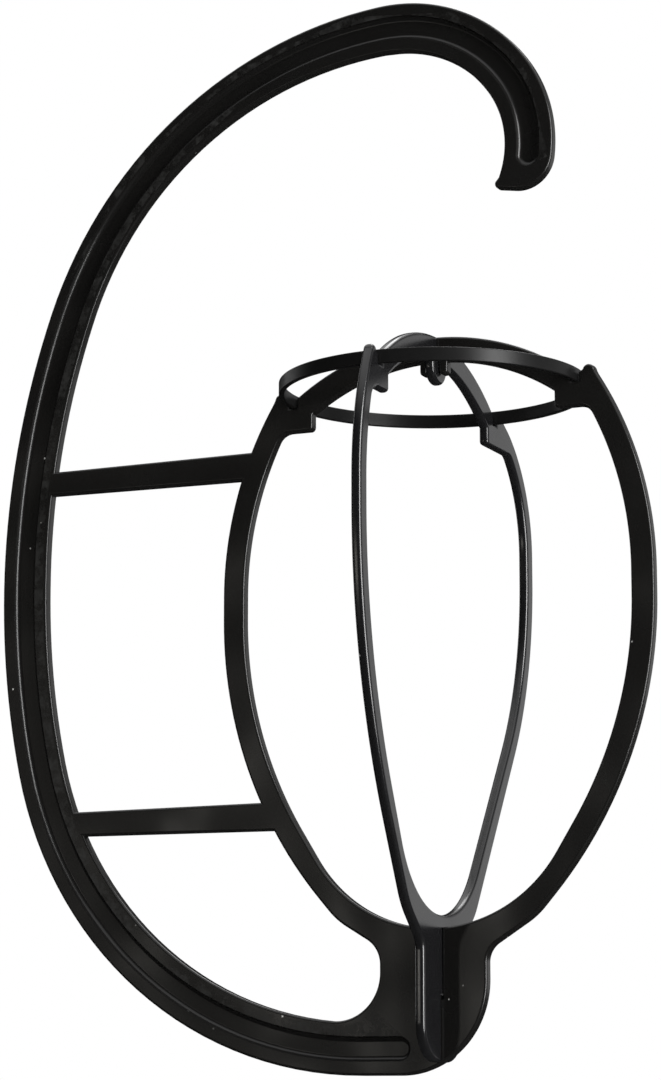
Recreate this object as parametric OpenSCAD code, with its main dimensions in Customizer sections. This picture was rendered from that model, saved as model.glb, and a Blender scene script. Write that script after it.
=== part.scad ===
// Hanging wig stand: a hook frame, a cross frame that laps into it, and a crown ring in four notches.
// Millimetres. The origin is the seat at the top of the hook, where a rail bears. +Z is up, and the
// hook frame lies in the XZ plane with its arm towards -X. The cross frame lies across it, towards -Y and +Y.

/* [Mouldings] */
// Thickness of the hook frame
frame_t = 4; // [3:0.2:5]
// Thickness of the cross frame
cross_t = 3.4; // [2.6:0.2:4.4]
// Gap on each side of a plate in its lap slot
lap_gap = 0.1; // [0.05:0.05:0.3]

/* [Arm] */
// Width of the arm
arm_w = 16.6; // [14:0.2:19]
// How much narrower the arm is between its side and its hook
arm_taper = 1.9; // [0:0.1:3]
// Radii of the arm's centreline, from the foot to the hook's tip
arm_radii = [120, 271, 132, 50, 40];
// Turn of each stretch in degrees
arm_turns = [77, 33, 66, 60, 41];
// Radius of the outer side of the tip
tip_r = 11.5; // [10:0.5:13]
// Width of the groove along the arm
groove_w = 6.4; // [5:0.2:8]
// Depth of the groove
groove_d = 1.9; // [1:0.1:2.2]

/* [Cage] */
// Half the width of the hook frame's loop
side_half = 74; // [70:1:74]
// Depth of the cross frame's loop at the front
front_half = 65; // [62:1:66]
// Depth of the cross frame's loop at the back
back_half = 84; // [74:1:86]
// Height to which the sides widen
side_h = 147; // [147:1:152]
// Height to which the front deepens
front_h = 170; // [168:1:172]
// Height to which the back deepens
back_h = 168; // [160:1:170]
// Height of each widest stretch, before the rib closes towards its horn
waist = 8; // [2:1:9]
// Radius of the lower part of a side rib
side_low_r = 139; // [137:1:139]
// Radius of the lower part of the front rib
front_low_r = 200; // [150:1:202]
// Radius of the lower part of the back rib
back_low_r = 112; // [105:1:125]
// Width of the hook frame's ribs
side_rib_w = 7.6; // [7:0.2:9]
// Width of the cross frame's ribs
cross_rib_w = 5.8; // [5:0.2:8]
// Height of the dome's top
dome_h = 235; // [230:1:238]
// Radius of the dome's outer edge
dome_r = 80; // [76:1:86]
// Width of the dome's band
dome_w = 8; // [7:0.5:9]

/* [Base] */
// Bottom of the hook frame's loop
side_floor_h = 45.6; // [43:0.2:46]
// Bottom of the cross frame's loop
cross_floor_h = 49.5; // [47:0.5:51]
// Radius inside the bottom of the hook frame's loop
side_floor_r = 48; // [48:1:52]
// Radius inside the bottom of the cross frame's loop
cross_floor_r = 36; // [34:1:40]
// Distance of the cross frame from the middle of the hook frame's loop
cross_x = 0.9; // [0:0.1:1.5]
// Half the width of the plates below the loops
base_half = 17.5; // [15:0.5:19]
// Radius of the base's outer corner
base_r = 29.5; // [25:0.5:30]
// Height of the cross frame's bottom edge
cross_foot_h = 4; // [3:0.5:8]
// Height at which the two base slots meet
base_lap_h = 24; // [18:1:32]

/* [Struts] */
// Height of each strut's middle
strut_heights = [82.4, 198];
// Depth of a strut where it leaves the arm
strut_arm_d = 8; // [6:0.2:10]
// Depth of a strut where it meets the rib
strut_rib_d = 9.2; // [6:0.2:11]

/* [Crown] */
// Outer radius of the ring
ring_r = 49.8; // [49:0.1:51]
// Wall of the ring
ring_wall = 1.8; // [1.4:0.1:2.4]
// Height of the ring's band
ring_h = 4.4; // [3.6:0.2:5.6]
// Height of the notch floors
notch_h = 216; // [214:0.2:217]
// Gap on each side of the ring in a notch
notch_gap = 0.4; // [0.3:0.1:0.6]
// Height of the horns' tips
horn_h = 221.2; // [220:0.2:223]
// Radius of a horn's tip
horn_r = 2; // [1.5:0.1:2.4]
// Distance from the cage's axis to a lug's inner face
lug_in = 42; // [40:0.5:44]
// Height of the lugs' undersides
lug_h = 208; // [205:0.2:209]

/* [Hidden] */
$fn = 96;
over = 60;                 // how far a cutting shape runs past what it cuts
side_foot = [33.6, 48.6];  // outer edge of a side rib where it reaches the base
cross_foot = [28.2, 51];   // outer edge of a cross rib where it reaches the base
foot_r = 26;               // radius of the bend there
shoulder = [56.5, 217.5];  // outer edge of a rib at its horn
back_shoulder = [62, 216]; // the same on the back rib, which is fuller
foot_x = -24.8;            // where the arm's centreline runs level
gate_x = -18.7;            // end of the opening between the arm and the left rib
gate_r = 15;               // radius of that end
gate_top_r = 9;            // radius where it turns up to the rib
lug_fillet = 5;            // radius under a lug
groove_foot_x = -12;       // where the groove ends in the base, short of the cross frame
horn_x = ring_r + notch_gap + horn_r + 1.3;
notch_in = ring_r - ring_wall - notch_gap;
notch_out = ring_r + notch_gap;
lap_top_h = dome_h - dome_w / 2;
dome_c = [0, dome_h - dome_r];
seat_x = arm_centre(3)[0];
seat_h = arm_centre(3)[1] + arm_radii[3] - arm_w / 2;

// Points along an arc
function arc(c, r, a0, a1, n = 24) =
    [for (i = [0:n]) let(a = a0 + (a1 - a0) * i / n) c + r * [cos(a), sin(a)]];

// Points round the corner at b, between a and c
function rounded(a, b, c, r) = let(
    u = (a - b) / norm(a - b),
    v = (c - b) / norm(c - b),
    half = acos(u * v) / 2,
    m = b + (u + v) / norm(u + v) * r / sin(half),
    p = b + u * r / tan(half) - m,
    q = b + v * r / tan(half) - m,
    a0 = atan2(p[1], p[0]),
    turn = atan2(q[1], q[0]) - a0,
    sweep = turn > 180 ? turn - 360 : turn < -180 ? turn + 360 : turn)
    arc(m, r, a0, a0 + sweep, 12);

function backwards(points) = [for (i = [len(points) - 1:-1:0]) points[i]];
function mirrored(points) = [for (p = backwards(points)) [-p[0], p[1]]];

// Heading, start and centre of each stretch of the arm's centreline
function arm_heading(i) = i == 0 ? 180 : arm_heading(i - 1) - arm_turns[i - 1];
function arm_side(i, h) = arm_radii[i] * [-sin(h), cos(h)];
function arm_start(i) =
    i == 0 ? [foot_x, arm_w / 2] : arm_centre(i - 1) + arm_side(i - 1, arm_heading(i));
function arm_centre(i) = arm_start(i) - arm_side(i, arm_heading(i));

// One edge of the arm, at a distance outside its centreline and moved out where the arm is narrower
function arm_edge(offset, taper) =
    [for (i = [0:len(arm_radii) - 1], j = [0:30])
        let(h = arm_heading(i) - arm_turns[i] * j / 30,
            move = h > 0 && h < 90 ? taper * pow(sin(2 * h), 1.2) : 0)
        arm_centre(i) + (arm_radii[i] + offset + move) * [-sin(h), cos(h)]];

// The tip: a full outer side that runs under to a small inner corner
function arm_tip() = let(
    i = len(arm_radii) - 1,
    c = arm_centre(i),
    end = arm_heading(i) + 90 - arm_turns[i],
    inner = arm_radii[i] - arm_w / 2,
    outer = arm_radii[i] + arm_w / 2,
    bulge = c + (outer - tip_r) * [cos(end), sin(end)],
    corner = c + inner * [cos(end - 21), sin(end - 21)])
    concat(
        arc(bulge, tip_r, end, end - 95, 24),
        rounded(bulge + tip_r * [cos(end - 95), sin(end - 95)], corner + [-0.6, 0.2],
                corner + [0.9, 3], 1.6),
        arc(c, inner, end - 14, end, 6));

// Angle at which a straight line leaves the arc at c1 to run on as the arc at c2
function leave(c1, r1, c2, r2) =
    atan2(c2[1] - c1[1], c2[0] - c1[0]) - acos((r1 - r2) / norm(c2 - c1));

// Radius and centre of the upper part of a rib, which is upright at [half, h] and ends at its shoulder
function high_r(half, h, top) = (pow(half - top[0], 2) + pow(top[1] - h, 2)) / (2 * (half - top[0]));
function high_c(half, h, top) = [half - high_r(half, h, top), h];

// Outer edge of half a loop, from a rib's foot over its horn and notch to the top of the dome
function half_outside(half, h, low_r, foot, top, neck) = let(
    low_c = [half - low_r, h],
    low_a = leave(foot, 0, low_c, low_r),
    c = high_c(half, h + waist, top),
    r = high_r(half, h + waist, top),
    root = acos(notch_in / dome_r))
    concat(
        rounded(neck, foot, low_c + low_r * [cos(low_a), sin(low_a)], foot_r),
        arc(low_c, low_r, low_a, 0, 28),
        arc(c, r, 0, asin((top[1] - c[1]) / r), 24),
        arc([horn_x, horn_h - horn_r], horn_r, 10, 165, 10),
        [[notch_out, notch_h + ring_h - 1.6], [notch_out, notch_h], [notch_in, notch_h]],
        arc(dome_c, dome_r, root, 90, 30));

// Inner edge of half a loop, from the middle of its floor round the lug to the dome
function half_inside(half, h, low_r, top, w, floor_h, floor_r) = let(
    low_c = [half - low_r, h],
    floor_c = [0, floor_h + floor_r],
    up = leave(floor_c, floor_r, low_c, low_r - w),
    c = high_c(half, h + waist, top),
    r = high_r(half, h + waist, top),
    fillet_h = lug_h - lug_fillet,
    fillet_c = [c[0] + sqrt(pow(r - w - lug_fillet, 2) - pow(fillet_h - c[1], 2)), fillet_h],
    end = atan2(fillet_h - c[1], fillet_c[0] - c[0]),
    root = acos(lug_in / (dome_r - dome_w)))
    concat(
        arc(floor_c, floor_r, -90, up, 16),
        arc(low_c, low_r - w, up, 0, 28),
        arc(c, r - w, 0, end, 24),
        arc(fillet_c, lug_fillet, end + 6, 90, 10),
        rounded([fillet_c[0], lug_h], [lug_in, lug_h], [lug_in, notch_h], 1.5),
        arc(dome_c, dome_r - dome_w, root, 90, 30));

// Everything is drawn from the cage's axis and the bottom edge, then moved to the hook's seat
module place() translate([-seat_x, 0, -seat_h]) children();
module side_plate(t) rotate([90, 0, 0]) linear_extrude(t, center = true) children();
module cross_plate(t) rotate([90, 0, 90]) linear_extrude(t, center = true) children();

// Groove along the middle of the arm, from the base to just short of the tip
module groove_outline() {
    g = groove_w / 2;
    i = len(arm_radii) - 1;
    end = arm_heading(i) + 90 - arm_turns[i];
    polygon(concat(
        arc([groove_foot_x, arm_w / 2], g, 90, -90, 12),
        arm_edge(g, arm_taper / 2),
        arc(arm_centre(i) + arm_radii[i] * [cos(end), sin(end)], g, end, end - 180, 12),
        backwards(arm_edge(-g, arm_taper / 2))));
}

// Outline of the hook frame's loop together with its base, which reaches into the arm's foot
module side_outline() {
    c = arm_centre(0);
    arm_in = arm_radii[0] - arm_w / 2;
    gate_c = [gate_x - gate_r, c[1] - sqrt(pow(arm_in - gate_r, 2) - pow(foot_x - gate_x + gate_r, 2))];
    touch = atan2(gate_c[1] - c[1], gate_c[0] - c[0]);
    polygon(concat(
        half_outside(side_half, side_h, side_low_r, side_foot, shoulder, [base_half, 38.4]),
        mirrored(half_outside(side_half, side_h, side_low_r, side_foot, shoulder, [-gate_x, 39.6])),
        rounded([-side_foot[0], side_foot[1]], [gate_x, 39.6], [gate_x, 20], gate_top_r),
        arc(gate_c, gate_r, 0, touch, 16),
        [c + arm_radii[0] * [cos(touch - 3), sin(touch - 3)], [foot_x - 8, arm_w / 2]],
        [[foot_x, 0]],
        rounded([foot_x, 0], [base_half, 0], [base_half, 38.4], base_r),
        rounded([base_half, 0], [base_half, 38.4], side_foot, 7)));
}

// Outline of the cross frame, front towards -x
module cross_outline() {
    edge = base_half - 1;
    polygon(concat(
        half_outside(back_half, back_h, back_low_r, cross_foot, back_shoulder, [edge, 40.6]),
        mirrored(half_outside(front_half, front_h, front_low_r, cross_foot, shoulder, [edge, 40.6])),
        rounded([-cross_foot[0], cross_foot[1]], [-edge, 40.6], [-edge, 20], 6),
        rounded([-edge, 40], [-edge, cross_foot_h], [0, cross_foot_h], 12),
        rounded([0, cross_foot_h], [edge, cross_foot_h], [edge, 40], 12),
        rounded([edge, 20], [edge, 40.6], cross_foot, 6)));
}

module strut(z) {
    i = z > arm_start(1)[1] ? 1 : 0;
    c = arm_centre(i);
    in_arm = arm_radii[i] - arm_w / 2 + 1.6;
    start_x = c[0] - sqrt(pow(in_arm, 2) - pow(z - c[1], 2));
    high = z > side_h;
    rib_r = (high ? high_r(side_half, side_h + waist, shoulder) : side_low_r) - side_rib_w / 2;
    rib_c = high ? high_c(side_half, side_h + waist, shoulder) : [side_half - side_low_r, side_h];
    rib_x = rib_c[0] + sqrt(pow(rib_r, 2) - pow(z - rib_c[1], 2));
    polygon([[start_x, z - strut_arm_d / 2], [-rib_x, z - strut_rib_d / 2],
             [-rib_x, z + strut_rib_d / 2], [start_x, z + strut_arm_d / 2]]);
}

module side_flat() {
    slot = cross_t + 2 * lap_gap;
    prong_w = 3;
    prong_h = dome_h - dome_w - 4.5;
    inside = half_inside(side_half, side_h, side_low_r, shoulder, side_rib_w, side_floor_h, side_floor_r);
    polygon(backwards(concat(
        arm_edge(arm_w / 2, 0),
        arm_tip(),
        backwards(arm_edge(-arm_w / 2, arm_taper)))));
    for (z = strut_heights) strut(z);
    difference() {
        side_outline();
        polygon(concat(inside, mirrored(inside)));
        translate([cross_x - slot / 2, base_lap_h]) square([slot, over]);
        translate([cross_x - slot / 2, lap_top_h - over]) square([slot, over]);
    }
    for (s = [-1, 1]) translate([cross_x + s * (slot + prong_w) / 2, prong_h + prong_w / 2]) {
        circle(d = prong_w);
        translate([-prong_w / 2, 0]) square([prong_w, 6]);
    }
}

module hook_frame() color([0.07, 0.07, 0.07]) place() difference() {
    side_plate(frame_t) side_flat();
    translate([0, groove_d - frame_t, 0]) side_plate(frame_t) groove_outline();
}

module cross_frame() color([0.1, 0.1, 0.11]) place() translate([cross_x, 0, 0]) cross_plate(cross_t) {
    slot = frame_t + 2 * lap_gap;
    tab_r = 6;
    difference() {
        union() {
            difference() {
                cross_outline();
                polygon(concat(
                    half_inside(back_half, back_h, back_low_r, back_shoulder,
                                cross_rib_w, cross_floor_h, cross_floor_r),
                    mirrored(half_inside(front_half, front_h, front_low_r, shoulder,
                                         cross_rib_w, cross_floor_h, cross_floor_r))));
            }
            translate([0, dome_h - dome_w - 1.5]) circle(tab_r);
        }
        translate([-slot / 2, base_lap_h - over]) square([slot, over]);
        translate([-slot / 2, lap_top_h]) square([slot, over]);
    }
}

module crown_ring() color([0.08, 0.08, 0.08]) place() translate([0, 0, notch_h])
    difference() {
        cylinder(h = ring_h, r = ring_r);
        translate([0, 0, -1]) cylinder(h = ring_h + 2, r = ring_r - ring_wall);
    }

hook_frame();
cross_frame();
crown_ring();
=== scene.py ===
import math

import bpy
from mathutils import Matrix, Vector


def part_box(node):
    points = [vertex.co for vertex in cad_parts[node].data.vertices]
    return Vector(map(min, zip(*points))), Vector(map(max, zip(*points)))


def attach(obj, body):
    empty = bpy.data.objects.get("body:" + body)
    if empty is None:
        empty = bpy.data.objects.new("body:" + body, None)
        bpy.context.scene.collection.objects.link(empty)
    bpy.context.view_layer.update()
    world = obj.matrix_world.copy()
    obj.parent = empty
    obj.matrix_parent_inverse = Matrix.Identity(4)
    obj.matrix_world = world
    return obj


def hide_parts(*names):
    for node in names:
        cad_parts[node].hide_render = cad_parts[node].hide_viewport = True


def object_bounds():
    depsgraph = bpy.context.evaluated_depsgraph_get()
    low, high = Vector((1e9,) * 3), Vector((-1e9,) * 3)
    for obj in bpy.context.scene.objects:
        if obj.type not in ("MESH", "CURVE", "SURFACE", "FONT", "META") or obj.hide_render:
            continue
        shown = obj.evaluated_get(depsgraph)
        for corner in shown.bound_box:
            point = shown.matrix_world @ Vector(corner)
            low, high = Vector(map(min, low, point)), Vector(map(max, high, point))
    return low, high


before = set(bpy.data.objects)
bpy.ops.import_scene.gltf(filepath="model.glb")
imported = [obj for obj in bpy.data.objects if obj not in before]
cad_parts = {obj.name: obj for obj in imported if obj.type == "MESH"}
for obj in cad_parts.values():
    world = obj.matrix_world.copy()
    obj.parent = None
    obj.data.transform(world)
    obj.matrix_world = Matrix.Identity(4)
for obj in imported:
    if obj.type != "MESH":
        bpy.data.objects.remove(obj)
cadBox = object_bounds()
print("frame loaded")

cameraSetup = {
    "place": (0.3874, -0.9168, -0.3419),
    "tiltUp": 10.23,      # degrees above level
    "turn": 24.16,        # degrees from looking along +Y
    "lens": 104.75,
    "shift": (0.0042, -0.0031),
}


def makeCamera(setup):
    data = bpy.data.cameras.new("camera")
    data.lens = setup["lens"]
    data.shift_x, data.shift_y = setup["shift"]
    camera = bpy.data.objects.new("camera", data)
    camera.location = setup["place"]
    camera.rotation_euler = (math.radians(90 + setup["tiltUp"]), 0, math.radians(setup["turn"]))
    bpy.context.scene.collection.objects.link(camera)
    bpy.context.scene.camera = camera


makeCamera(cameraSetup)
print("camera placed")

def newGroup(name, inputs, outputs):
    group = bpy.data.node_groups.new(name, "ShaderNodeTree")
    for label, kind, value in inputs:
        socket = group.interface.new_socket(label, in_out="INPUT", socket_type=kind)
        socket.default_value = value
    for label, kind in outputs:
        group.interface.new_socket(label, in_out="OUTPUT", socket_type=kind)
    return group, group.nodes.new("NodeGroupInput"), group.nodes.new("NodeGroupOutput")


def mathNode(tree, operation, first, second):
    node = tree.nodes.new("ShaderNodeMath")
    node.operation = operation
    for socket, value in zip(node.inputs, (first, second)):
        if isinstance(value, (int, float)):
            socket.default_value = value
        else:
            tree.links.new(value, socket)
    return node.outputs[0]


def noiseNode(tree, where, scale, detail, roughness=0.5):
    node = tree.nodes.new("ShaderNodeTexNoise")
    node.inputs["Scale"].default_value = scale
    node.inputs["Detail"].default_value = detail
    node.inputs["Roughness"].default_value = roughness
    tree.links.new(where, node.inputs["Vector"])
    return node.outputs["Fac"]


def rangeNode(tree, value, low, high, toLow=0.0, toHigh=1.0):
    node = tree.nodes.new("ShaderNodeMapRange")
    node.interpolation_type = "SMOOTHSTEP"
    for label, number in (("From Min", low), ("From Max", high), ("To Min", toLow), ("To Max", toHigh)):
        node.inputs[label].default_value = number
    tree.links.new(value, node.inputs["Value"])
    return node.outputs["Result"]


def blendNode(tree, mask, first, second):
    node = tree.nodes.new("ShaderNodeMix")
    node.data_type = "RGBA"
    for label, value in (("Factor", mask), ("A", first), ("B", second)):
        tree.links.new(value, node.inputs[label])
    return node.outputs["Result"]


studio = {
    "floorDrop": 1.1,          # metres below the bottom of the stand
    "floorSize": 30.0,
    "floorColour": (0.9, 0.9, 0.89),
    "floorRoughness": 0.9,
    "floorShadow": (0.02, 0.02, 0.02),   # the floor's colour where the plastic mirrors it
    "backdrop": 1.0,           # brightness behind the stand
    "brightSide": (0.52, 0.80, -0.30),   # the side of the room that has the window
    "roomBright": 0.75,        # what the plastic mirrors from there
    "roomDark": 0.008,         # and from the rest of the room
    "roomTop": 1.4,            # and from overhead
    "sideFade": (0.5, 0.95),   # how far into the bright side its light starts and is full
    "topFade": (0.5, 0.8),     # the same for the light overhead, as part of the way up
}

# name, place, point it faces, width, height, power, colour
softboxes = [
    ("topBox", (0.2, 0.9, 1.5), (0, 0, -0.1), 1.2, 0.7, 14, (1, 1, 1)),
    ("leftBox", (-2.0, 0.7, 0.3), (0, 0, -0.15), 0.5, 1.4, 5, (1, 1, 1)),
    ("rightPanel", (1.6, -0.62, 0.05), (0, 0, -0.15), 0.6, 1.7, 55, (1, 1, 1)),
    ("baseBox", (-0.62, -1.5, -0.2), (0, 0, -0.27), 0.09, 0.13, 0.45, (1, 0.97, 0.9)),
    ("frontPanel", (-1.15, -1.45, -0.12), (-0.05, 0, -0.2), 0.7, 0.6, 0.42, (1, 0.96, 0.88)),
]


# The camera sees a plain backdrop, and the plastic mirrors a dark room with one bright side
def makeWorld(values):
    world = bpy.data.worlds.new("studio")
    bpy.context.scene.world = world
    world.use_nodes = True
    tree = world.node_tree
    tree.nodes.clear()
    link = tree.links.new
    where = tree.nodes.new("ShaderNodeTexCoord").outputs["Generated"]
    towards = tree.nodes.new("ShaderNodeVectorMath")
    towards.operation = "DOT_PRODUCT"
    towards.inputs[1].default_value = values["brightSide"]
    link(where, towards.inputs[0])
    split = tree.nodes.new("ShaderNodeSeparateXYZ")
    link(where, split.inputs[0])
    side = rangeNode(tree, towards.outputs["Value"], *values["sideFade"],
                     values["roomDark"], values["roomBright"])
    above = rangeNode(tree, split.outputs["Z"], *values["topFade"], 0, values["roomTop"])
    room = tree.nodes.new("ShaderNodeBackground")
    room.inputs["Color"].default_value = (1, 1, 1, 1)
    link(mathNode(tree, "MAXIMUM", side, above), room.inputs["Strength"])
    backdrop = tree.nodes.new("ShaderNodeBackground")
    backdrop.inputs["Color"].default_value = (1, 1, 1, 1)
    backdrop.inputs["Strength"].default_value = values["backdrop"]
    mix = tree.nodes.new("ShaderNodeMixShader")
    link(tree.nodes.new("ShaderNodeLightPath").outputs["Is Camera Ray"], mix.inputs[0])
    link(room.outputs[0], mix.inputs[1])
    link(backdrop.outputs[0], mix.inputs[2])
    link(mix.outputs[0], tree.nodes.new("ShaderNodeOutputWorld").inputs[0])


def makeFloor(values):
    low = cadBox[0][2] - values["floorDrop"]
    bpy.ops.object.select_all(action="DESELECT")
    bpy.ops.mesh.primitive_plane_add(size=values["floorSize"], location=(0, 0, low))
    floor = bpy.context.object
    floor.name = "floor"
    paint = bpy.data.materials.new("floorPaint")
    paint.use_nodes = True
    tree = paint.node_tree
    shader = tree.nodes["Principled BSDF"]
    shader.inputs["Base Color"].default_value = (*values["floorColour"], 1)
    shader.inputs["Roughness"].default_value = values["floorRoughness"]
    shade = tree.nodes.new("ShaderNodeBsdfDiffuse")
    shade.inputs["Color"].default_value = (*values["floorShadow"], 1)
    path = tree.nodes.new("ShaderNodeLightPath")
    mix = tree.nodes.new("ShaderNodeMixShader")
    tree.links.new(path.outputs["Is Glossy Ray"], mix.inputs[0])
    tree.links.new(shader.outputs[0], mix.inputs[1])
    tree.links.new(shade.outputs[0], mix.inputs[2])
    tree.links.new(mix.outputs[0], tree.nodes["Material Output"].inputs["Surface"])
    floor.data.materials.append(paint)


def makeSoftbox(name, place, target, width, height, power, colour):
    data = bpy.data.lights.new(name, "AREA")
    data.shape = "RECTANGLE"
    data.size = width
    data.size_y = height
    data.energy = power
    data.color = colour
    light = bpy.data.objects.new(name, data)
    light.location = place
    light.rotation_euler = (Vector(target) - Vector(place)).to_track_quat("-Z", "Y").to_euler()
    bpy.context.scene.collection.objects.link(light)


makeWorld(studio)
makeFloor(studio)
for box in softboxes:
    makeSoftbox(*box)
bpy.context.scene.view_settings.view_transform = "Standard"
print("studio lit")


# Scales are in repeats to the metre
mouldSkinRules = {"waveScale": 34, "cloudScale": 70, "cloudDetail": 2, "grainScale": 2600, "grainDetail": 2}
# Sharp edges painted paler: partly wear, partly a painted highlight
edgeWearAndHighlightRules = {
    "edge": (0.52, 0.6),      # how sharp an edge starts to show wear and a painted highlight, and shows them fully
    "scale": 260,
    "detail": 5,
    "roughness": 0.7,
    "patch": (0.42, 0.66),    # the part of the noise that counts as a patch of wear and painted highlight
}
dustRules = {
    "scale": 210,
    "speck": (0.05, 0.1),     # radius of a speck's middle and of its soft rim, in cells
    "rare": (0.86, 0.95),     # cells with a smaller number than this have no speck
}
plasticRules = {
    "dull": 0.35,             # roughness that edge wear with its painted highlight, and dust, add
    "bumpHeight": 0.001,
}


# The skin that a polished mould leaves: slow waves from cooling, and a fine haze in the gloss
def makeMouldSkin(rules):
    group, given, out = newGroup(
        "mouldSkin",
        [("Roughness", "NodeSocketFloat", 0.3), ("Haze", "NodeSocketFloat", 0.1),
         ("Waves", "NodeSocketFloat", 0.3), ("Grain", "NodeSocketFloat", 0.1)],
        [("Roughness", "NodeSocketFloat"), ("Height", "NodeSocketFloat")])
    where = group.nodes.new("ShaderNodeTexCoord").outputs["Object"]
    slow = noiseNode(group, where, rules["waveScale"], 0)
    cloud = noiseNode(group, where, rules["cloudScale"], rules["cloudDetail"])
    grain = noiseNode(group, where, rules["grainScale"], rules["grainDetail"])
    haze = mathNode(group, "MULTIPLY", mathNode(group, "SUBTRACT", cloud, 0.5), given.outputs["Haze"])
    group.links.new(mathNode(group, "ADD", given.outputs["Roughness"], haze), out.inputs["Roughness"])
    waves = mathNode(group, "MULTIPLY", slow, given.outputs["Waves"])
    fine = mathNode(group, "MULTIPLY", grain, given.outputs["Grain"])
    group.links.new(mathNode(group, "ADD", waves, fine), out.inputs["Height"])
    return group


# Edges painted a little paler and duller than the faces: partly wear from handling, partly a painted
# highlight on sharp edges
def makeEdgeWearAndHighlight(rules):
    group, given, out = newGroup(
        "edgeWearAndHighlight",
        [("Colour", "NodeSocketColor", (0.01, 0.01, 0.01, 1)),
         ("Worn And Lit", "NodeSocketColor", (0.05, 0.05, 0.05, 1)),
         ("Amount", "NodeSocketFloat", 0.5)],
        [("Colour", "NodeSocketColor"), ("Mask", "NodeSocketFloat")])
    where = group.nodes.new("ShaderNodeTexCoord").outputs["Object"]
    sharpness = group.nodes.new("ShaderNodeNewGeometry").outputs["Pointiness"]
    edge = rangeNode(group, sharpness, *rules["edge"])
    noise = noiseNode(group, where, rules["scale"], rules["detail"], rules["roughness"])
    patch = rangeNode(group, noise, *rules["patch"])
    # Sharp edges are painted paler by this mask: partly wear, partly a painted highlight
    mask = mathNode(group, "MULTIPLY", mathNode(group, "MULTIPLY", edge, patch), given.outputs["Amount"])
    blend = blendNode(group, mask, given.outputs["Colour"], given.outputs["Worn And Lit"])
    group.links.new(blend, out.inputs["Colour"])
    group.links.new(mask, out.inputs["Mask"])
    return group


# Pale dust that clings to the plastic in a few scattered specks
def makeDust(rules):
    group, given, out = newGroup(
        "dust",
        [("Colour", "NodeSocketColor", (0.01, 0.01, 0.01, 1)),
         ("Dust", "NodeSocketColor", (0.3, 0.3, 0.29, 1)),
         ("Amount", "NodeSocketFloat", 0.5)],
        [("Colour", "NodeSocketColor"), ("Mask", "NodeSocketFloat")])
    where = group.nodes.new("ShaderNodeTexCoord").outputs["Object"]
    cells = group.nodes.new("ShaderNodeTexVoronoi")
    cells.inputs["Scale"].default_value = rules["scale"]
    group.links.new(where, cells.inputs["Vector"])
    speck = rangeNode(group, cells.outputs["Distance"], *rules["speck"], 1, 0)
    split = group.nodes.new("ShaderNodeSeparateColor")
    group.links.new(cells.outputs["Color"], split.inputs[0])
    rare = rangeNode(group, split.outputs["Red"], *rules["rare"])
    mask = mathNode(group, "MULTIPLY", mathNode(group, "MULTIPLY", speck, rare), given.outputs["Amount"])
    blend = blendNode(group, mask, given.outputs["Colour"], given.outputs["Dust"])
    group.links.new(blend, out.inputs["Colour"])
    group.links.new(mask, out.inputs["Mask"])
    return group


mouldSkin = makeMouldSkin(mouldSkinRules)
edgeWearAndHighlight = makeEdgeWearAndHighlight(edgeWearAndHighlightRules)
dust = makeDust(dustRules)
print("surface effects made")


def placeGroup(tree, group, values):
    node = tree.nodes.new("ShaderNodeGroup")
    node.node_tree = group
    for label, value in values.items():
        node.inputs[label].default_value = value
    return node


def makePlastic(name, look):
    paint = bpy.data.materials.new(name)
    paint.use_nodes = True
    tree = paint.node_tree
    link = tree.links.new
    shader = tree.nodes["Principled BSDF"]
    shader.inputs["IOR"].default_value = look["ior"]
    shader.inputs["Specular IOR Level"].default_value = look["specular"]
    skin = placeGroup(tree, mouldSkin, {"Roughness": look["roughness"], "Haze": look["haze"],
                                        "Waves": look["waves"], "Grain": look["grain"]})
    # Paler sharp edges: partly wear, partly a painted highlight
    wearAndHighlight = placeGroup(tree, edgeWearAndHighlight, {"Colour": (*look["colour"], 1), "Worn And Lit": (*look["wornAndLitColour"], 1),
                                     "Amount": look["wearAndHighlight"]})
    specks = placeGroup(tree, dust, {"Dust": (*look["dustColour"], 1), "Amount": look["dust"]})
    link(wearAndHighlight.outputs["Colour"], specks.inputs["Colour"])
    link(specks.outputs["Colour"], shader.inputs["Base Color"])
    wearDustAndHighlight = mathNode(tree, "ADD", wearAndHighlight.outputs["Mask"], specks.outputs["Mask"])
    dull = mathNode(tree, "MULTIPLY", wearDustAndHighlight, plasticRules["dull"])
    link(mathNode(tree, "ADD", skin.outputs["Roughness"], dull), shader.inputs["Roughness"])
    bump = tree.nodes.new("ShaderNodeBump")
    bump.inputs["Strength"].default_value = look["bump"]
    bump.inputs["Distance"].default_value = plasticRules["bumpHeight"]
    link(skin.outputs["Height"], bump.inputs["Height"])
    link(bump.outputs["Normal"], shader.inputs["Normal"])
    return paint


def selectOnly(piece):
    bpy.ops.object.select_all(action="DESELECT")
    piece.select_set(True)
    bpy.context.view_layer.objects.active = piece


outlineRules = {
    "levelGap": 0.00002,      # how far a corner may lie off the level that is read
    "flatness": 0.999,        # least part of a face's normal that is along the axis
    "sameLength": 0.03,       # chords of one arc differ in length by less than this share
    "leastTurn": 0.0005,      # a smaller turn, in radians, is a straight run
    "cornerTurn": 40,         # a sharper turn than this, in degrees, is a corner
    "step": 3,                # degrees of arc to a segment
}
plateRules = {
    "mergeGap": 0.000004,
    "flatTurn": 0.1,          # faces that turn by less than this, in degrees, become one
    "smoothTurn": 40,         # and those that turn by less than this are shaded as one
}


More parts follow.
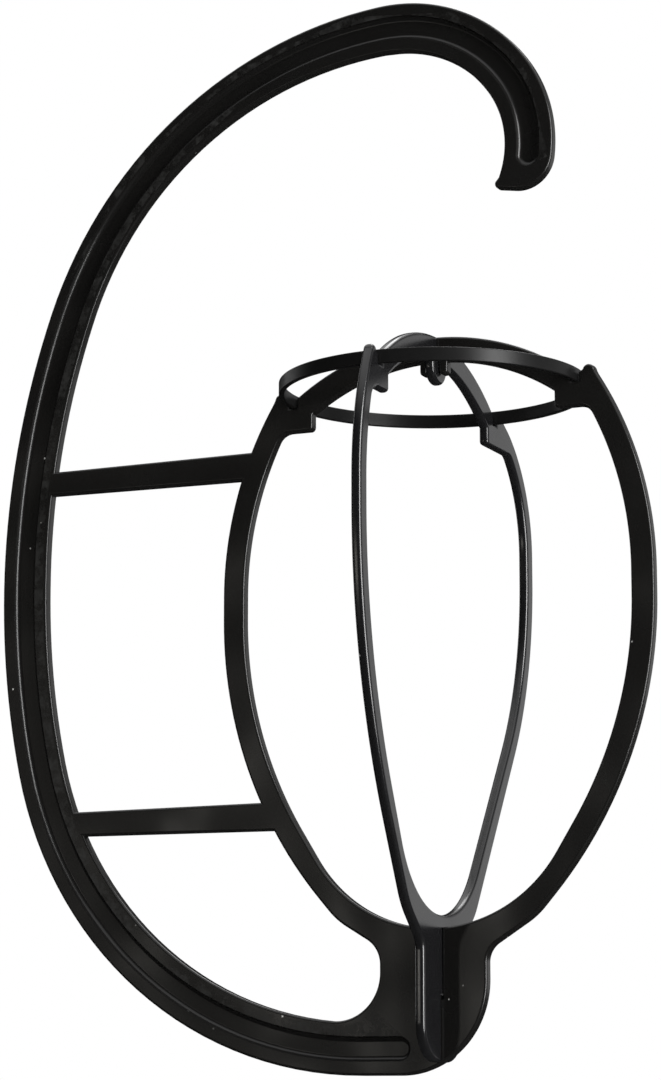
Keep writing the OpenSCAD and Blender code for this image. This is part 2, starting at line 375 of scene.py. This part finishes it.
# The closed outlines of a CAD node's mesh at one level along an axis, as flat points in order
def outlinesOf(node, axis, level, facing, rules):
    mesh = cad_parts[node].data
    spots = [tuple(round(c, 6) for c in vertex.co) for vertex in mesh.vertices]
    sides = {}      # in the order in which they are found
    for face in mesh.polygons:
        ring = [spots[i] for i in face.vertices]
        onLevel = all(abs(spot[axis] - level) <= rules["levelGap"] for spot in ring)
        if not onLevel or face.normal[axis] * facing < rules["flatness"]:
            continue
        for first, second in zip(ring, ring[1:] + ring[:1]):
            sides[(first, second)] = True
    after = {first: second for first, second in sides if (second, first) not in sides}
    flat = [i for i in range(3) if i != axis]
    loops = []
    while after:
        spot = next(iter(after))
        loop = []
        while spot in after:
            loop.append(Vector((spot[flat[0]], spot[flat[1]])))
            spot = after.pop(spot)
        loops.append(loop)
    return loops


# Half the angle of the arc that each chord of an outline stands for, and nothing for a straight one
def halfAngles(chords, rules):
    count = len(chords)
    corner = math.radians(rules["cornerTurn"])
    turns = []          # at the start of each chord
    for i in range(count):
        before, here = chords[i - 1], chords[i]
        turns.append(math.atan2(before.x * here.y - before.y * here.x, before.dot(here)))

    def sameArc(i, j):
        first, second = chords[i % count].length, chords[j % count].length
        turn = abs(turns[max(i, j) % count])
        return abs(first - second) < rules["sameLength"] * first and rules["leastTurn"] < turn < corner

    half = []
    for i in range(count):
        following = (i + 1) % count
        shares = []
        if sameArc(i - 1, i):
            shares.append(turns[i] / 2)
        if sameArc(i, i + 1):
            shares.append(turns[following] / 2)
        half.append(sum(shares) / len(shares) if shares else None)
    for i in range(count):      # a lone chord takes what its neighbours leave of the turns
        if half[i] is None:
            following = (i + 1) % count
            ends = ((turns[i], half[i - 1]), (turns[following], half[following]))
            rest = [turn - other for turn, other in ends if abs(turn) < corner and other is not None]
            half[i] = min(rest, key=abs) if len(rest) == 2 and rest[0] * rest[1] > 0 else 0.0
    return half


# The mesh has each arc as a few chords, and this puts the arc back between their ends
def smoothOutline(loop, rules):
    count = len(loop)
    chords = [loop[(i + 1) % count] - loop[i] for i in range(count)]
    smooth = []
    for start, chord, angle in zip(loop, chords, halfAngles(chords, rules)):
        smooth.append(start.copy())
        parts = math.ceil(2 * abs(angle) / math.radians(rules["step"]))
        for k in range(1, parts):
            radius = chord.length / (2 * math.sin(angle))
            heading = math.atan2(chord.y, chord.x) - angle
            swept = 2 * angle * k / parts
            smooth.append(start + Vector((
                radius * (math.sin(heading + swept) - math.sin(heading)),
                radius * (math.cos(heading) - math.cos(heading + swept)))))
    return smooth


def smoothOutlinesOf(node, axis, level, facing):
    loops = outlinesOf(node, axis, level, facing, outlineRules)
    return [smoothOutline(loop, outlineRules) for loop in loops]


# A plate with rounded edges, cut to outlines that lie across the given axis
def makePlate(name, outlines, axis, low, high, edge, rounding, grow=0.0):
    flat = bpy.data.curves.new(name, "CURVE")
    flat.dimensions = "2D"
    flat.fill_mode = "BOTH"
    flat.extrude = (high - low) / 2 - edge
    flat.bevel_depth = edge
    flat.bevel_resolution = rounding
    flat.offset = grow - edge
    for outline in outlines:
        spline = flat.splines.new("POLY")
        spline.points.add(len(outline) - 1)
        for point, place in zip(spline.points, outline):
            point.co = (place.x, place.y, 0, 1)
        spline.use_cyclic_u = True
    plate = bpy.data.objects.new(name, flat)
    bpy.context.scene.collection.objects.link(plate)
    plate.rotation_euler = (math.radians(90), 0, math.radians(90) if axis == 0 else 0)
    plate.location[axis] = (high + low) / 2
    selectOnly(plate)
    bpy.ops.object.convert(target="MESH")
    plate = bpy.context.object
    bpy.ops.object.transform_apply(location=True, rotation=True, scale=True)
    bpy.ops.object.mode_set(mode="EDIT")
    bpy.ops.mesh.select_all(action="SELECT")
    bpy.ops.mesh.remove_doubles(threshold=plateRules["mergeGap"])
    bpy.ops.mesh.dissolve_limited(angle_limit=math.radians(plateRules["flatTurn"]))
    bpy.ops.mesh.select_all(action="SELECT")
    bpy.ops.mesh.normals_make_consistent(inside=False)
    bpy.ops.object.mode_set(mode="OBJECT")
    return plate


def smoothShade(piece):
    selectOnly(piece)
    bpy.ops.object.shade_smooth_by_angle(angle=math.radians(plateRules["smoothTurn"]))
    even = piece.modifiers.new("evenNormals", "WEIGHTED_NORMAL")
    even.keep_sharp = True
    bpy.ops.object.modifier_apply(modifier=even.name)


def finishPiece(piece, body, node, paint):
    piece.data.materials.clear()
    piece.data.materials.append(paint)
    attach(piece, body)
    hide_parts(node)
    print(piece.name, "made with", len(piece.data.polygons), "faces")


hookFrame = {
    "edge": 0.0009,           # radius of the outer edges
    "rounding": 4,            # how finely they are rounded
    "slope": 0.0018,          # radius between the groove's walls and floor
    "slopeRounding": 6,
    "wallShare": 0.97,        # most of the groove's depth that this radius may take
    "spread": 0.0007,         # how far the walls open out at the lips
    "lip": 0.0011,            # radius of the groove's lips
    "lipRounding": 4,
    "lipSharpness": 0.8,      # edges with a larger cosine between their faces stay as they are
    "look": {
        "colour": (0.0055, 0.0053, 0.005), "ior": 1.46, "specular": 0.36, "roughness": 0.26, "haze": 0.1,
        "waves": 2.2, "grain": 0.003, "bump": 1.0, "wornAndLitColour": (0.03, 0.03, 0.029), "wearAndHighlight": 0.5,
        "dustColour": (0.5, 0.5, 0.48), "dust": 0.9,
    },
}


def makeHookFrame(values):
    low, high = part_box("hook_frame")
    outlines = smoothOutlinesOf("hook_frame", 1, high.y, 1)
    piece = makePlate("hookFrame", outlines, 1, low.y, high.y, values["edge"], values["rounding"])
    cutGroove(piece, low.y, values)
    roundLips(piece, low.y, values)
    smoothShade(piece)
    finishPiece(piece, "frame", "hook_frame", makePlastic("satinBlack", values["look"]))


# The groove's floor is the only flat level between the plate's two faces
def cutGroove(piece, front, values):
    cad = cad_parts["hook_frame"].data
    floor = max(f.center.y for f in cad.polygons if f.normal.y < -outlineRules["flatness"])
    depth = floor - front
    outlines = smoothOutlinesOf("hook_frame", 1, floor, -1)
    slope = min(values["slope"], depth * values["wallShare"])
    cutter = makePlate("grooveCutter", outlines, 1, front - depth, front + depth,
                       slope, values["slopeRounding"], values["spread"])
    cut = piece.modifiers.new("groove", "BOOLEAN")
    cut.operation = "DIFFERENCE"
    cut.object = cutter
    cut.solver = "EXACT"
    selectOnly(piece)
    bpy.ops.object.modifier_apply(modifier=cut.name)
    bpy.data.objects.remove(cutter, do_unlink=True)


# The groove's lips are the only sharp edges on the plate's front
def roundLips(piece, front, values):
    mesh = piece.data
    faces = {}
    for face in mesh.polygons:
        for key in face.edge_keys:
            faces.setdefault(key, []).append(face)
    weights = mesh.attributes.new("bevel_weight_edge", "FLOAT", "EDGE")
    for edge in mesh.edges:
        near = faces.get(edge.key, [])
        ends = [mesh.vertices[i].co.y for i in edge.vertices]
        atFront = max(ends) < front + outlineRules["levelGap"]
        if atFront and len(near) == 2 and near[0].normal.dot(near[1].normal) < values["lipSharpness"]:
            weights.data[edge.index].value = 1.0
    bevel = piece.modifiers.new("lips", "BEVEL")
    bevel.limit_method = "WEIGHT"
    bevel.width = values["lip"]
    bevel.segments = values["lipRounding"]
    bpy.ops.object.modifier_apply(modifier=bevel.name)


crossFrame = {
    "edge": 0.0013,           # radius of all its edges
    "rounding": 5,
    "look": {
        "colour": (0.006, 0.006, 0.0065), "ior": 1.5, "specular": 0.5, "roughness": 0.2, "haze": 0.12,
        "waves": 0.6, "grain": 0.003, "bump": 0.35, "wornAndLitColour": (0.035, 0.035, 0.036), "wearAndHighlight": 0.5,
        "dustColour": (0.5, 0.5, 0.5), "dust": 0.9,
    },
}


def makeCrossFrame(values):
    low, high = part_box("cross_frame")
    outlines = smoothOutlinesOf("cross_frame", 0, high.x, 1)
    piece = makePlate("crossFrame", outlines, 0, low.x, high.x, values["edge"], values["rounding"])
    smoothShade(piece)
    finishPiece(piece, "frame", "cross_frame", makePlastic("glossBlack", values["look"]))


crownRing = {
    "edge": 0.0004,           # radius of the band's four edges
    "rounding": 3,
    "sharpTurn": 60,          # only edges that turn by more than this, in degrees, are rounded
    "steps": 256,             # segments round the ring
    "look": {
        "colour": (0.0055, 0.0055, 0.0055), "ior": 1.48, "specular": 0.16, "roughness": 0.34, "haze": 0.14,
        "waves": 0.4, "grain": 0.01, "bump": 0.3, "wornAndLitColour": (0.03, 0.03, 0.03), "wearAndHighlight": 0.4,
        "dustColour": (0.28, 0.28, 0.28), "dust": 0.4,
    },
}


def makeCrownRing(values):
    low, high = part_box("crown_ring")
    middle = (low + high) / 2
    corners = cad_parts["crown_ring"].data.vertices
    inner = min((corner.co - middle).to_2d().length for corner in corners)
    outer = (high.x - low.x) / 2
    bpy.ops.object.select_all(action="DESELECT")
    bpy.ops.mesh.primitive_cylinder_add(
        vertices=values["steps"], radius=outer, depth=high.z - low.z,
        end_fill_type="NOTHING", location=middle)
    piece = bpy.context.object
    piece.name = "crownRing"
    bpy.ops.object.transform_apply(location=True, rotation=True, scale=True)
    wall = piece.modifiers.new("wall", "SOLIDIFY")
    wall.thickness = outer - inner
    wall.offset = -1
    bpy.ops.object.modifier_apply(modifier=wall.name)
    bevel = piece.modifiers.new("roundedEdges", "BEVEL")
    bevel.limit_method = "ANGLE"
    bevel.angle_limit = math.radians(values["sharpTurn"])
    bevel.width = values["edge"]
    bevel.segments = values["rounding"]
    bpy.ops.object.modifier_apply(modifier=bevel.name)
    smoothShade(piece)
    finishPiece(piece, "ring", "crown_ring", makePlastic("ringBlack", values["look"]))


makeHookFrame(hookFrame)
makeCrossFrame(crossFrame)
makeCrownRing(crownRing)
